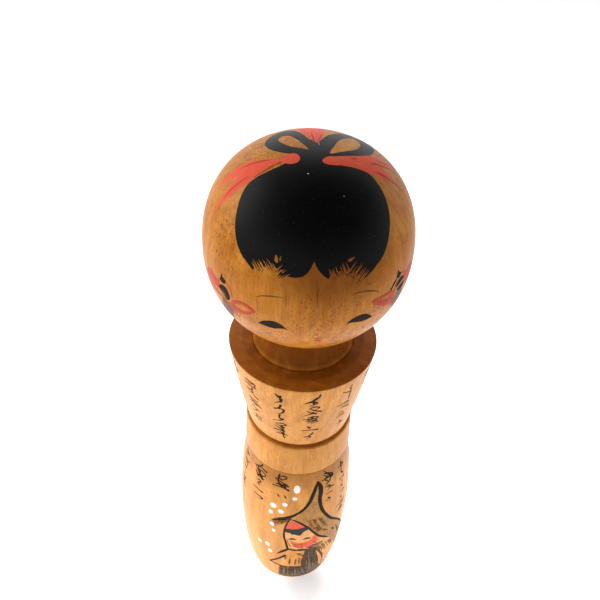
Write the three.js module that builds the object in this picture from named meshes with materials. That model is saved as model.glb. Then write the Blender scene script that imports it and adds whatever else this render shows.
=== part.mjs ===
// A turned wooden kokeshi doll: a ball head on a short neck, a flared upper body,
// a plain belt and a barrel-shaped lower body, pegged together with two dowels.
// Millimetres, +Z up, origin at the middle of the underside, face towards -Y.
import * as THREE from 'three';

// Driving dimensions
const TOTAL_HEIGHT = 242;
const GAP = 0.3;                 // clearance between pieces that touch
const OUTER_SEGMENTS = 48;
const DOWEL_SEGMENTS = 24;

// The ball's outline is two superellipse arcs that meet at its widest level.
// An exponent of 2 is an ellipse, and a larger one is squarer.
const HEAD_RADIUS = 35.5;
const CROWN_HEIGHT = 36.3;       // from the widest level up to the top
const CROWN_EXPONENT = 2.3;
const CHIN_DEPTH = 35.4;         // from the widest level down to where the arc would close
const CHIN_EXPONENT = 2.05;
const HEAD_STEPS = 26;

const NECK_FOOT_RADIUS = 19.3;
const NECK_WAIST_RADIUS = 17.4;
const NECK_WAIST_SHARE = 0.6;    // how far up the neck its waist is
const NECK_TOP_RADIUS = 18.2;
const NECK_HEIGHT = 14.4;
const NECK_RECESS_DEPTH = 1.2;   // how far the neck's foot sits in the collar

const COLLAR_TOP = 162.0;
const COLLAR_RADIUS = 28.7;

const CONE_FOOT = 120.5;
const CONE_FOOT_RADIUS = 22.0;
const CONE_BULGE = 0.4;          // how far the flared side stands out from a straight line
const CONE_STEPS = 6;

const GROOVE_RADIUS = 20.6;      // bottom of the groove between upper body and belt

const BELT_TOP = 118.4;
const BELT_FOOT = 100.9;
const BELT_TOP_RADIUS = 22.7;
const BELT_FOOT_RADIUS = 23.5;

// The barrel's side is a spline through these radii and heights.
const BASE_RADIUS = 22.6;
const LOW_BARREL = { radius: 25.3, height: 20 };
const WIDEST_BARREL = { radius: 26.6, height: 55 };
const HIGH_BARREL = { radius: 24.9, height: 86 };
const SHOULDER_RADIUS = 22.7;
const BARREL_STEPS = 16;

const RIM_EDGE = 0.4;            // rounding of the collar's rim
const EDGE = 0.6;                // rounding of the other turned edges
const EDGE_STEPS = 3;

const DOWEL_RADIUS = 8;
const SOCKET_RADIUS = DOWEL_RADIUS + GAP;
const NECK_DOWEL_IN_HEAD = 30;
const NECK_DOWEL_IN_BODY = 18;
const WAIST_DOWEL_IN_UPPER = 16;
const WAIST_DOWEL_IN_LOWER = 20;
const DOWEL_EDGE = 0.8;

// Sizes worked out from them
const HEAD_CENTRE = TOTAL_HEIGHT - CROWN_HEIGHT;
const RECESS_FLOOR = COLLAR_TOP - NECK_RECESS_DEPTH;
const RECESS_RADIUS = NECK_FOOT_RADIUS + 2 * GAP;
const NECK_BOTTOM = RECESS_FLOOR + GAP;
const NECK_TOP = NECK_BOTTOM + NECK_HEIGHT;
const HEAD_SEAT = NECK_TOP + GAP;
const CONE_SEAT = BELT_TOP + GAP;
const SHOULDER = BELT_FOOT - GAP;

// Materials
const WOOD_COLOUR = new THREE.Color(0.83, 0.56, 0.29);
const BARE_WOOD_COLOUR = new THREE.Color(0.8, 0.66, 0.45);

function varnishedWood() {
  return new THREE.MeshStandardMaterial({ color: WOOD_COLOUR, roughness: 0.35, metalness: 0 });
}

function bareWood() {
  return new THREE.MeshStandardMaterial({ color: BARE_WOOD_COLOUR, roughness: 0.7, metalness: 0 });
}

// Profiles are lists of [radius, height], walked upwards along the outside.
function turned(name, profile, segments, material) {
  const points = profile.map(([radius, height]) => new THREE.Vector2(radius, height));
  const geometry = new THREE.LatheGeometry(points, segments);
  geometry.rotateX(Math.PI / 2);   // the lathe axis from Y to Z
  const mesh = new THREE.Mesh(geometry, material);
  mesh.name = name;
  return mesh;
}

// An arc that rounds an edge: its centre and radius, and its first and last angle in degrees
function roundedEdge(centreRadius, centreHeight, size, fromDegrees, toDegrees) {
  const points = [];
  for (let i = 0; i <= EDGE_STEPS; i += 1) {
    const angle = THREE.MathUtils.degToRad(
      THREE.MathUtils.lerp(fromDegrees, toDegrees, i / EDGE_STEPS),
    );
    points.push([centreRadius + size * Math.cos(angle), centreHeight + size * Math.sin(angle)]);
  }
  return points;
}

// The ball's [radius, height] at an angle above its widest level, seen from its centre
function headPoint(angle) {
  const isCrown = angle >= 0;
  const half = isCrown ? CROWN_HEIGHT : CHIN_DEPTH;
  const power = isCrown ? CROWN_EXPONENT : CHIN_EXPONENT;
  const across = Math.cos(angle);
  const rise = Math.sin(angle);
  const reach = ((across / HEAD_RADIUS) ** power + (Math.abs(rise) / half) ** power) ** (-1 / power);
  return [across * reach, HEAD_CENTRE + rise * reach];
}

function headProfile() {
  const seatDrop = HEAD_CENTRE - HEAD_SEAT;
  const seatRadius = HEAD_RADIUS * (1 - (seatDrop / CHIN_DEPTH) ** CHIN_EXPONENT) ** (1 / CHIN_EXPONENT);
  const seatAngle = -Math.atan2(seatDrop, seatRadius);
  const boreTop = HEAD_SEAT + NECK_DOWEL_IN_HEAD + GAP;
  const profile = [[0, boreTop], [SOCKET_RADIUS, boreTop], [SOCKET_RADIUS, HEAD_SEAT]];
  for (let i = 0; i < HEAD_STEPS; i += 1) {
    profile.push(headPoint(THREE.MathUtils.lerp(seatAngle, Math.PI / 2, i / HEAD_STEPS)));
  }
  profile.push([0, TOTAL_HEIGHT]);
  return profile;
}

function neckRingProfile() {
  return [
    [SOCKET_RADIUS, NECK_BOTTOM],
    ...roundedEdge(NECK_FOOT_RADIUS - EDGE, NECK_BOTTOM + EDGE, EDGE, -90, 0),
    [NECK_FOOT_RADIUS, COLLAR_TOP],
    [NECK_WAIST_RADIUS, NECK_BOTTOM + NECK_HEIGHT * NECK_WAIST_SHARE],
    [NECK_TOP_RADIUS, NECK_TOP],
    [SOCKET_RADIUS, NECK_TOP],
    [SOCKET_RADIUS, NECK_BOTTOM],
  ];
}

function upperBodyProfile() {
  const footSocketTop = CONE_SEAT + WAIST_DOWEL_IN_UPPER + GAP;
  const topSocketFloor = RECESS_FLOOR - NECK_DOWEL_IN_BODY - GAP;
  const sideBottom = CONE_FOOT + EDGE;
  const sideTop = COLLAR_TOP - RIM_EDGE;
  const side = [];
  for (let i = 1; i < CONE_STEPS; i += 1) {
    const share = i / CONE_STEPS;
    const straight = THREE.MathUtils.lerp(CONE_FOOT_RADIUS, COLLAR_RADIUS, share);
    side.push([
      straight + CONE_BULGE * Math.sin(Math.PI * share),
      THREE.MathUtils.lerp(sideBottom, sideTop, share),
    ]);
  }
  return [
    [0, footSocketTop],
    [SOCKET_RADIUS, footSocketTop],
    [SOCKET_RADIUS, CONE_SEAT],
    [GROOVE_RADIUS, CONE_SEAT],
    [GROOVE_RADIUS, CONE_FOOT],
    ...roundedEdge(CONE_FOOT_RADIUS - EDGE, sideBottom, EDGE, -90, 0),
    ...side,
    ...roundedEdge(COLLAR_RADIUS - RIM_EDGE, sideTop, RIM_EDGE, 0, 90),
    [RECESS_RADIUS, COLLAR_TOP],
    [RECESS_RADIUS, RECESS_FLOOR],
    [SOCKET_RADIUS, RECESS_FLOOR],
    [SOCKET_RADIUS, topSocketFloor],
    [0, topSocketFloor],
  ];
}

function waistRingProfile() {
  return [
    [SOCKET_RADIUS, BELT_FOOT],
    ...roundedEdge(BELT_FOOT_RADIUS - EDGE, BELT_FOOT + EDGE, EDGE, -90, 0),
    ...roundedEdge(BELT_TOP_RADIUS - EDGE, BELT_TOP - EDGE, EDGE, 0, 90),
    [SOCKET_RADIUS, BELT_TOP],
    [SOCKET_RADIUS, BELT_FOOT],
  ];
}

function lowerBodyProfile() {
  const side = new THREE.SplineCurve([
    new THREE.Vector2(BASE_RADIUS, EDGE),
    new THREE.Vector2(LOW_BARREL.radius, LOW_BARREL.height),
    new THREE.Vector2(WIDEST_BARREL.radius, WIDEST_BARREL.height),
    new THREE.Vector2(HIGH_BARREL.radius, HIGH_BARREL.height),
    new THREE.Vector2(SHOULDER_RADIUS, SHOULDER - EDGE),
  ]);
  const socketFloor = SHOULDER - WAIST_DOWEL_IN_LOWER - GAP;
  return [
    [0, 0],
    [BASE_RADIUS - EDGE, 0],
    ...side.getPoints(BARREL_STEPS).map((point) => [point.x, point.y]),
    [SHOULDER_RADIUS - EDGE, SHOULDER],
    [SOCKET_RADIUS, SHOULDER],
    [SOCKET_RADIUS, socketFloor],
    [0, socketFloor],
  ];
}

function dowelProfile(bottom, top) {
  return [
    [0, bottom],
    [DOWEL_RADIUS - DOWEL_EDGE, bottom],
    [DOWEL_RADIUS, bottom + DOWEL_EDGE],
    [DOWEL_RADIUS, top - DOWEL_EDGE],
    [DOWEL_RADIUS - DOWEL_EDGE, top],
    [0, top],
  ];
}

// The head, its neck and the neck dowel turn together in the upper body.
function turningHead() {
  const group = new THREE.Group();
  const dowelBottom = RECESS_FLOOR - NECK_DOWEL_IN_BODY;
  const dowelTop = HEAD_SEAT + NECK_DOWEL_IN_HEAD;
  group.add(
    turned('head', headProfile(), OUTER_SEGMENTS, varnishedWood()),
    turned('neck_ring', neckRingProfile(), OUTER_SEGMENTS, varnishedWood()),
    turned('neck_dowel', dowelProfile(dowelBottom, dowelTop), DOWEL_SEGMENTS, bareWood()),
  );
  return group;
}

function standingBody() {
  const group = new THREE.Group();
  const dowelBottom = SHOULDER - WAIST_DOWEL_IN_LOWER;
  const dowelTop = CONE_SEAT + WAIST_DOWEL_IN_UPPER;
  group.add(
    turned('upper_body', upperBodyProfile(), OUTER_SEGMENTS, varnishedWood()),
    turned('waist_ring', waistRingProfile(), OUTER_SEGMENTS, varnishedWood()),
    turned('lower_body', lowerBodyProfile(), OUTER_SEGMENTS, varnishedWood()),
    turned('waist_dowel', dowelProfile(dowelBottom, dowelTop), DOWEL_SEGMENTS, bareWood()),
  );
  return group;
}

const kokeshi = new THREE.Group();
kokeshi.add(standingBody(), turningHead());

export default kokeshi;
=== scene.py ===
"""A turned and painted kokeshi doll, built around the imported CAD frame.

The turned pieces are fine lathe meshes in varnished wood. Hair, bow, face, flowers, writing, snow
and the figure on the lower body are thin closed skins of paint, laid on the wood from flat charts.
Chart lengths are in millimetres; everything in Blender is in metres.
"""

import math
import random

import bpy
from mathutils import Matrix, Vector, geometry


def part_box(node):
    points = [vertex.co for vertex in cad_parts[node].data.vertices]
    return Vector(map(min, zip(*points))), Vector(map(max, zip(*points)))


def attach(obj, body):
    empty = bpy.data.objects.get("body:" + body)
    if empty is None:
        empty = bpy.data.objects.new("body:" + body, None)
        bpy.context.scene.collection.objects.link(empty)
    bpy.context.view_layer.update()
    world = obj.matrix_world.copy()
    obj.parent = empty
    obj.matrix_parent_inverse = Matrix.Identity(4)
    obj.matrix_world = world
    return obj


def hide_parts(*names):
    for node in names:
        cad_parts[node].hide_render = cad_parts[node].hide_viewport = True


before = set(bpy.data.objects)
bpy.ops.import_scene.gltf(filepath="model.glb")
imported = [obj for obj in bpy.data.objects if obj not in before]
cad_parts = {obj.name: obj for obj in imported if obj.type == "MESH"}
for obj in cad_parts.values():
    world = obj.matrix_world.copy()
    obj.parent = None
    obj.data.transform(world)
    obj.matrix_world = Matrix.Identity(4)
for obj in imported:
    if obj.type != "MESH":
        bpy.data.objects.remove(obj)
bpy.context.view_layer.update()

MM = 0.001

# ---------------------------------------------------------------- sizes, in millimetres


def node_box(node):
    """Lowest and highest corner of a CAD node in millimetres."""
    low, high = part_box(node)
    return low / MM, high / MM


HEAD_LOW, HEAD_HIGH = node_box("head")
NECK_LOW, NECK_HIGH = node_box("neck_ring")
UPPER_LOW, UPPER_HIGH = node_box("upper_body")
BELT_LOW, BELT_HIGH = node_box("waist_ring")
LOWER_HIGH = node_box("lower_body")[1]
NECK_DOWEL_LOW, NECK_DOWEL_HIGH = node_box("neck_dowel")
WAIST_DOWEL_LOW, WAIST_DOWEL_HIGH = node_box("waist_dowel")

GAP = UPPER_LOW.z - BELT_HIGH.z            # clearance between pieces that touch
PAINT_ROOM = 0.07                          # the wood sits this far inside the CAD surface
HEAD_RADIUS = HEAD_HIGH.x - PAINT_ROOM
CROWN_HEIGHT = 36.3 - PAINT_ROOM           # two superellipse arcs meet at the head's widest level
CROWN_EXPONENT = 2.3
CHIN_DEPTH = 35.4
CHIN_EXPONENT = 2.05
HEAD_CENTRE = HEAD_HIGH.z - PAINT_ROOM - CROWN_HEIGHT
COLLAR_RADIUS = UPPER_HIGH.x - PAINT_ROOM
GROOVE_WIDTH = 2.1                         # from the belt up to the foot of the upper body
CONE_FOOT = BELT_HIGH.z + GROOVE_WIDTH
CONE_FOOT_RADIUS = 22.0 - PAINT_ROOM
CONE_BULGE = 0.4
GROOVE_RADIUS = 20.6
BELT_RADIUS = BELT_HIGH.x
BELT_TOP_RADIUS = BELT_RADIUS - 0.8
NECK_RADIUS = NECK_HIGH.x
NECK_RECESS = 1.2                          # depth of the neck's seat in the collar
SOCKET_RADIUS = NECK_DOWEL_HIGH.x + GAP
BARREL_SIDE = (                            # height and radius, from the foot to the belt
    (0.6, 22.6), (20, 25.3), (55, LOWER_HIGH.x), (86, 24.9), (LOWER_HIGH.z - 0.6, 22.7),
)

LATHE_SEGMENTS = 192
SHARP_ANGLE = math.radians(35)             # edges sharper than this stay crisp
CHART_SCALE = 36.0                         # millimetres for one radian on a head chart
SIDE_SCALE = 25.0                          # and round the body

# ---------------------------------------------------------------- node trees


class Tree:
    """Short calls for building a material's node tree."""

    def __init__(self, name):
        self.material = bpy.data.materials.new(name)
        self.material.use_nodes = True
        self.nodes = self.material.node_tree.nodes
        self.links = self.material.node_tree.links
        self.shader = self.nodes["Principled BSDF"]
        self.place = self.nodes.new("ShaderNodeTexCoord").outputs["Object"]

    def node(self, kind, inputs=None, **settings):
        made = self.nodes.new(kind)
        for key, value in settings.items():
            setattr(made, key, value)
        for key, value in (inputs or {}).items():
            self.set(made.inputs[key], value)
        return made

    def set(self, socket, value):
        if isinstance(value, bpy.types.NodeSocket):
            self.links.new(value, socket)
        else:
            socket.default_value = value

    def math(self, operation, a, b=0.0):
        return self.node("ShaderNodeMath", {0: a, 1: b}, operation=operation).outputs[0]

    def length(self, x, y):
        squares = self.math("ADD", self.math("POWER", x, 2), self.math("POWER", y, 2))
        return self.math("SQRT", squares)

    def axes(self):
        """The three coordinates of the object's place."""
        return self.node("ShaderNodeSeparateXYZ", {"Vector": self.place}).outputs

    def times(self, first, *others):
        """The product of all the values."""
        for other in others:
            first = self.math("MULTIPLY", first, other)
        return first

    def fade(self, value, start, end, low=0.0, high=1.0):
        """Goes smoothly from low to high as the value goes from start to end."""
        return self.node("ShaderNodeMapRange", {
            "Value": value, "From Min": start, "From Max": end, "To Min": low, "To Max": high,
        }, interpolation_type="SMOOTHSTEP").outputs["Result"]

    def distance(self, point):
        """How far the object's surface is from a point."""
        return self.node(
            "ShaderNodeVectorMath", {0: self.place, 1: point}, operation="DISTANCE"
        ).outputs["Value"]

    def stretched(self, scale):
        """The object's place scaled along each axis, to stretch a pattern."""
        return self.node("ShaderNodeMapping", {"Vector": self.place, "Scale": scale}).outputs[0]

    def noise(self, vector, scale, detail=3.0, roughness=0.5):
        return self.node("ShaderNodeTexNoise", {
            "Vector": vector, "Scale": scale, "Detail": detail, "Roughness": roughness,
        }).outputs["Fac"]

    def ramp(self, value, stops):
        """Maps value through black-to-white stops: (position, level) pairs."""
        made = self.node("ShaderNodeValToRGB", {"Fac": value})
        elements = made.color_ramp.elements
        while len(elements) < len(stops):
            elements.new(0.5)
        for element, (position, level) in zip(elements, stops):
            element.position = position
            element.color = (level, level, level, 1)
        return made.outputs["Color"]

    def mix(self, share, a, b):
        """Colour a, with a share of colour b mixed in."""
        made = self.node("ShaderNodeMix", data_type="RGBA")
        self.set(made.inputs["Factor"], share)
        self.set(made.inputs["A"], a)
        self.set(made.inputs["B"], b)
        return made.outputs["Result"]

    def bump(self, height, strength, distance, normal=None):
        inputs = {"Height": height, "Strength": strength, "Distance": distance}
        if normal is not None:
            inputs["Normal"] = normal
        return self.node("ShaderNodeBump", inputs).outputs["Normal"]


# ---------------------------------------------------------------- camera, lights and floor

CAMERA_AZIMUTH = math.radians(-7.5)
CAMERA_DISTANCE = 0.1649
CAMERA_HEIGHT = 0.3258
CAMERA_PITCH = math.radians(41.58)
CAMERA_YAW = math.radians(0.62)
CAMERA_ROLL = math.radians(2.8)
LENS = 36.0                                # a wide phone lens, on a 36 mm wide square frame


def make_camera():
    data = bpy.data.cameras.new("camera")
    data.lens = LENS
    data.sensor_width = 36.0
    data.clip_start = 0.01
    data.clip_end = 50.0
    camera = bpy.data.objects.new("camera", data)
    bpy.context.scene.collection.objects.link(camera)
    turn = Matrix.Rotation(CAMERA_AZIMUTH, 4, "Z")
    place = turn @ Matrix.Translation((0, -CAMERA_DISTANCE, CAMERA_HEIGHT))
    aim = (
        Matrix.Rotation(CAMERA_YAW, 4, "Z")
        @ Matrix.Rotation(math.pi / 2 - CAMERA_PITCH, 4, "X")
        @ Matrix.Rotation(CAMERA_ROLL, 4, "Z")
    )
    camera.matrix_world = place @ aim
    bpy.context.scene.camera = camera


DARK_SIDE = Vector((0.15, -0.35, 0.92)).normalized()   # the dim side of the room, over the camera
DARK_EDGE = 0.80                           # cosine from it at which the room starts to brighten
BRIGHT_EDGE = 0.05                         # and at which it is fully bright
DIM_LEVEL = 0.12
BRIGHT_LEVEL = 1.9
BACKDROP_LEVEL = 1.2                       # what the camera itself sees behind the floor
WINDOW_POWER = 5.0
WINDOW_PLACE = (-0.9, 0.35, 0.7)
WINDOW_TARGET = (0, 0, 0.12)
WINDOW_SIZE = 0.9
WINDOW_COLOUR = (1.0, 0.985, 0.96)


def add_window():
    data = bpy.data.lights.new("window", "AREA")
    data.shape = "DISK"
    data.size = WINDOW_SIZE
    data.energy = WINDOW_POWER
    data.color = WINDOW_COLOUR
    light = bpy.data.objects.new("window", data)
    light.location = WINDOW_PLACE
    light.rotation_mode = "QUATERNION"
    way = Vector(WINDOW_TARGET) - Vector(WINDOW_PLACE)
    light.rotation_quaternion = way.to_track_quat("-Z", "Y")
    bpy.context.scene.collection.objects.link(light)


def make_light():
    """A white room, dim overhead and in front, with a soft window on the left."""
    world = bpy.data.worlds.new("studio")
    world.use_nodes = True
    nodes, links = world.node_tree.nodes, world.node_tree.links
    way = nodes.new("ShaderNodeTexCoord").outputs["Generated"]
    towards = nodes.new("ShaderNodeVectorMath")
    towards.operation = "DOT_PRODUCT"
    links.new(way, towards.inputs[0])
    towards.inputs[1].default_value = DARK_SIDE
    level = nodes.new("ShaderNodeMapRange")
    level.interpolation_type = "SMOOTHSTEP"
    links.new(towards.outputs["Value"], level.inputs["Value"])
    level.inputs["From Min"].default_value = DARK_EDGE
    level.inputs["From Max"].default_value = BRIGHT_EDGE
    level.inputs["To Min"].default_value = DIM_LEVEL
    level.inputs["To Max"].default_value = BRIGHT_LEVEL
    room = nodes["Background"]
    room.inputs["Color"].default_value = (1, 0.99, 0.975, 1)
    links.new(level.outputs["Result"], room.inputs["Strength"])
    backdrop = nodes.new("ShaderNodeBackground")
    backdrop.inputs["Color"].default_value = (1, 1, 1, 1)
    backdrop.inputs["Strength"].default_value = BACKDROP_LEVEL
    pick = nodes.new("ShaderNodeMixShader")
    links.new(nodes.new("ShaderNodeLightPath").outputs["Is Camera Ray"], pick.inputs["Fac"])
    links.new(room.outputs["Background"], pick.inputs[1])
    links.new(backdrop.outputs["Background"], pick.inputs[2])
    links.new(pick.outputs["Shader"], nodes["World Output"].inputs["Surface"])
    bpy.context.scene.world = world
    add_window()


NEAR_GLOW = 1.2                            # the floor glows a little, to stay white in the room's shade
BACK_GLOW = 0.4
FAR_GLOW = 0.35
SHADOW_PLACE = (0.0042, -0.0276, 0)        # the faint painted shadow in front of the foot, where the floor's glow is dimmed
SHADOW_GLOW = 0.30                         # share of the glow left in its middle
FLOOR_REACH = 8.0
NEAR_FADE = (0.55, 0.10)                   # where each glow starts and where it is full
FAR_FADE = (0.40, 1.2)
BACK_FADE = (-0.30, 0.0)
SHADOW_FADE = (0.005, 0.030)


def make_floor():
    mesh = bpy.data.meshes.new("floor")
    signs = ((-1, -1), (1, -1), (1, 1), (-1, 1))
    corners = [(FLOOR_REACH * x, FLOOR_REACH * y, 0) for x, y in signs]
    mesh.from_pydata(corners, [], [(0, 1, 2, 3)])
    floor = bpy.data.objects.new("floor", mesh)
    bpy.context.scene.collection.objects.link(floor)
    tree = Tree("floor_white")
    tree.shader.inputs["Base Color"].default_value = (0.9, 0.9, 0.9, 1)
    tree.shader.inputs["Roughness"].default_value = 0.7
    _, y, _ = tree.axes()
    away = tree.distance((0, 0, 0))
    near = tree.fade(away, *NEAR_FADE, 0.0, NEAR_GLOW)
    far = tree.fade(away, *FAR_FADE, 0.0, FAR_GLOW)
    behind = tree.fade(y, *BACK_FADE, 0.0, BACK_GLOW)
    painted_shadow = tree.fade(tree.distance(SHADOW_PLACE), *SHADOW_FADE, SHADOW_GLOW, 1.0)
    tree.shader.inputs["Emission Color"].default_value = (0.98, 0.965, 1.0, 1)
    glow = tree.times(tree.math("MAXIMUM", tree.math("ADD", near, behind), far), painted_shadow)
    tree.set(tree.shader.inputs["Emission Strength"], glow)
    mesh.materials.append(tree.material)


# ---------------------------------------------------------------- materials


PALE_WOOD = (0.78, 0.320, 0.042, 1)
WARM_WOOD = (0.57, 0.195, 0.010, 1)
PALE_BODY_WOOD = (0.95, 0.52, 0.17, 1)
GRAIN_BROWN = (0.27, 0.070, 0.004, 1)
SPOT_BROWN = (0.17, 0.040, 0.003, 1)
SPECK_BROWN = (0.05, 0.014, 0.003, 1)
# colour and strengths of the painted shade; on the head it goes with age darkening
SHADE_BROWN = (0.16, 0.036, 0.001, 1)
NECK_SHADE = 0.74
RING_SHADE = 0.16                          # more painted shade on the collar, close round the neck
RING_WIDTH = 3.6
RING_EDGE = 1.2
HEAD_SHADE_AND_AGE = 0.20
FOREHEAD_SHADE_AND_AGE = 0.78
FOREHEAD = Vector((0.10, -0.84, 0.52)).normalized()
UNDER_BELT_SHADE = 0.40
GROOVE_SHADE = 0.60
BODY_PALENESS = 0.26                       # the body is paler than the head
BODY_DIRT = 0.40                           # the body's share of the spots on the head
PITH = (55 * MM, 95 * MM)                  # the heart of the tree, off the doll's axis
RING_SPACING = 3.1 * MM                    # from one growth ring to the next
RING_DRIFT = 9 * MM                        # how far the rings wander


def painted_shade(tree):
    """Painted shade on the wood: neck and collar under the head, groove and under the belt, with a painted
    highlight round the neck's foot; on the head, painted shade with age darkening.
    """
    x, y, z = tree.axes()

    def between(low, low_edge, high, high_edge):
        """Full between two heights, with soft edges, in millimetres."""
        start = tree.fade(z, (low - low_edge) * MM, low * MM)
        return tree.times(start, tree.fade(z, (high + high_edge) * MM, high * MM))

    collar = UPPER_HIGH.z
    ring_edge = NECK_RADIUS + RING_WIDTH
    # painted shade on the neck and the collar top under the head, deepest close round the neck and mottled
    # at random
    close = tree.fade(
        tree.length(x, y),
        (ring_edge + RING_EDGE) * MM, ring_edge * MM, NECK_SHADE, NECK_SHADE + RING_SHADE,
    )
    shade_mottle = tree.fade(tree.noise(tree.stretched((1, 1, 0.3)), 210, 4.0, 0.7), 0.40, 0.70, 1.0, 0.78)
    # a painted highlight: a lighter line round the foot of the neck
    rim_highlight = tree.times(between(collar + 0.5, 0.5, collar + 0.7, 1.6), 0.26)
    neck = tree.times(
        between(collar - 0.2, 0.6, NECK_HIGH.z - 3, 6), tree.math("SUBTRACT", tree.times(close, shade_mottle), rim_highlight),
    )
    from_centre = tree.node("ShaderNodeVectorMath", {
        0: tree.place, 1: (0, 0, HEAD_CENTRE * MM),
    }, operation="SUBTRACT").outputs[0]
    way = tree.node("ShaderNodeVectorMath", {0: from_centre}, operation="NORMALIZE").outputs[0]
    towards = tree.node("ShaderNodeVectorMath", {
        0: way, 1: FOREHEAD,
    }, operation="DOT_PRODUCT").outputs["Value"]
    # painted shade together with age darkening over the head, deepest on the forehead
    head = tree.times(
        tree.fade(z, (NECK_HIGH.z - 5) * MM, (NECK_HIGH.z + 10) * MM),
        tree.fade(towards, 0.80, 0.98, HEAD_SHADE_AND_AGE, FOREHEAD_SHADE_AND_AGE),
    )
    # painted shade under the belt
    under_belt = tree.times(between(BELT_LOW.z - 0.4, 16, BELT_LOW.z - 0.3, 0.6), UNDER_BELT_SHADE)
    # painted shade in the groove between the belt and the upper body
    in_groove = tree.times(between(BELT_HIGH.z + 0.2, 0.4, CONE_FOOT - 0.3, 0.3), GROOVE_SHADE)
    # all the painted shade together, with the head's age darkening
    stain_and_shade = neck
    for other in (head, under_belt, in_groove):
        stain_and_shade = tree.math("MAXIMUM", stain_and_shade, other)
    return stain_and_shade


def wood_pattern(tree, spots=1.0):
    """Colour of the varnished wood, with the fibre and spot patterns it is made from."""
    drift = tree.noise(tree.stretched((1, 1, 0.35)), 28, 2.0)
    x, y, z = tree.axes()
    from_x = tree.math("SUBTRACT", x, PITH[0])
    from_y = tree.math("SUBTRACT", y, PITH[1])
    ring = tree.math("ADD", tree.length(from_x, from_y), tree.times(drift, RING_DRIFT))
    wave = tree.math("SINE", tree.times(ring, 2 * math.pi / RING_SPACING))
    rings = tree.times(tree.math("ADD", wave, 1.0), 0.5)

    fibres = tree.noise(tree.stretched((1, 1, 0.028)), 1400, 4.0, 0.62)
    streaks = tree.noise(tree.stretched((1, 1, 0.05)), 330, 3.0, 0.55)
    pores = tree.noise(tree.stretched((1, 1, 0.09)), 2600, 1.0)
    pores = tree.ramp(pores, [(0.63, 0), (0.72, 1)])
    blotches = tree.noise(tree.place, 55, 3.0, 0.6)

    tone = tree.math("ADD", tree.times(streaks, 0.9), tree.times(blotches, 0.8))
    tone = tree.ramp(tone, [(0.62, 0), (1.08, 1)])
    colour = tree.mix(tone, PALE_WOOD, WARM_WOOD)
    body = tree.fade(z, (NECK_LOW.z + 3) * MM, (NECK_LOW.z - 3) * MM, 0.0, BODY_PALENESS)
    colour = tree.mix(body, colour, PALE_BODY_WOOD)
    late = tree.times(tree.ramp(rings, [(0.55, 0), (1.0, 1)]), 0.16)
    colour = tree.mix(late, colour, GRAIN_BROWN)
    thread = tree.ramp(fibres, [(0.52, 0), (0.75, 1)])
    colour = tree.mix(tree.times(thread, 0.34), colour, GRAIN_BROWN)
    colour = tree.mix(tree.times(pores, 0.26), colour, SPOT_BROWN)
    # painted shade, and the head's age darkening, mixed into the wood's colour
    colour = tree.mix(painted_shade(tree), colour, SHADE_BROWN)

    dirt = tree.fade(z, (NECK_HIGH.z - 5) * MM, (NECK_HIGH.z + 5) * MM, BODY_DIRT * spots, spots)
    patches = tree.ramp(tree.noise(tree.place, 60, 2.0), [(0.38, 0.25), (0.58, 1)])
    dirt = tree.times(dirt, patches)
    mottle = tree.noise(tree.stretched((1, 1, 0.55)), 420, 4.0, 0.75)
    mottle = tree.ramp(mottle, [(0.48, 0), (0.66, 1)])
    colour = tree.mix(tree.times(dirt, mottle, 0.6), colour, GRAIN_BROWN)
    freckles = tree.noise(tree.stretched((1, 1, 0.6)), 1300, 3.0, 0.7)
    freckles = tree.ramp(freckles, [(0.55, 0), (0.64, 1)])
    colour = tree.mix(tree.times(dirt, freckles, 0.8), colour, SPOT_BROWN)
    specks = tree.ramp(tree.noise(tree.place, 1300, 0.0), [(0.77, 0), (0.80, 1)])
    colour = tree.mix(tree.times(dirt, specks, 0.8), colour, SPECK_BROWN)
    return colour, fibres, pores


def finish_wood(tree, colour, fibres, pores, roughness=(0.34, 0.5), coat=0.11, shine=0.05):
    smear = tree.noise(tree.place, 90, 4.0, 0.6)
    level = tree.times(smear, roughness[1] - roughness[0])
    tree.set(tree.shader.inputs["Roughness"], tree.math("ADD", level, roughness[0]))
    tree.set(tree.shader.inputs["Base Color"], colour)
    tree.shader.inputs["Specular IOR Level"].default_value = shine
    tree.shader.inputs["Coat Weight"].default_value = coat
    tree.shader.inputs["Coat Roughness"].default_value = 0.22
    height = tree.math("SUBTRACT", tree.times(fibres, 0.6), tree.times(pores, 0.5))
    turning = tree.noise(tree.stretched((0.04, 0.04, 1)), 1800, 2.0)
    first = tree.bump(height, 0.22, 0.00012)
    tree.set(tree.shader.inputs["Normal"], tree.bump(turning, 0.10, 0.0001, first))
    return tree.material


def varnished_wood():
    tree = Tree("varnished_wood")
    return finish_wood(tree, *wood_pattern(tree))


def bare_wood():
    tree = Tree("bare_wood")
    colour, fibres, pores = wood_pattern(tree, 0.3)
    pale = tree.mix(0.65, colour, (0.78, 0.62, 0.38, 1))
    return finish_wood(tree, pale, fibres, pores, (0.6, 0.8), 0.0)


def black_paint():
    tree = Tree("black_paint")
    cloud = tree.noise(tree.place, 120, 4.0, 0.6)
    colour = tree.mix(cloud, (0.0006, 0.0006, 0.0007, 1), (0.0025, 0.0026, 0.003, 1))
    tree.shader.inputs["Specular IOR Level"].default_value = 0.09
    dust = tree.ramp(tree.noise(tree.place, 2300, 1.0), [(0.74, 0), (0.80, 1)])
    colour = tree.mix(tree.times(dust, 0.35), colour, (0.2, 0.19, 0.17, 1))
    tree.set(tree.shader.inputs["Base Color"], colour)
    smear = tree.noise(tree.stretched((1, 1, 0.3)), 160, 4.0, 0.6)
    level = tree.times(smear, 0.22)
    tree.set(tree.shader.inputs["Roughness"], tree.math("ADD", level, 0.30))
    fibres = tree.noise(tree.stretched((1, 1, 0.028)), 1400, 4.0, 0.62)
    tree.set(tree.shader.inputs["Normal"], tree.bump(fibres, 0.12, 0.0001))
    return tree.material


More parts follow.
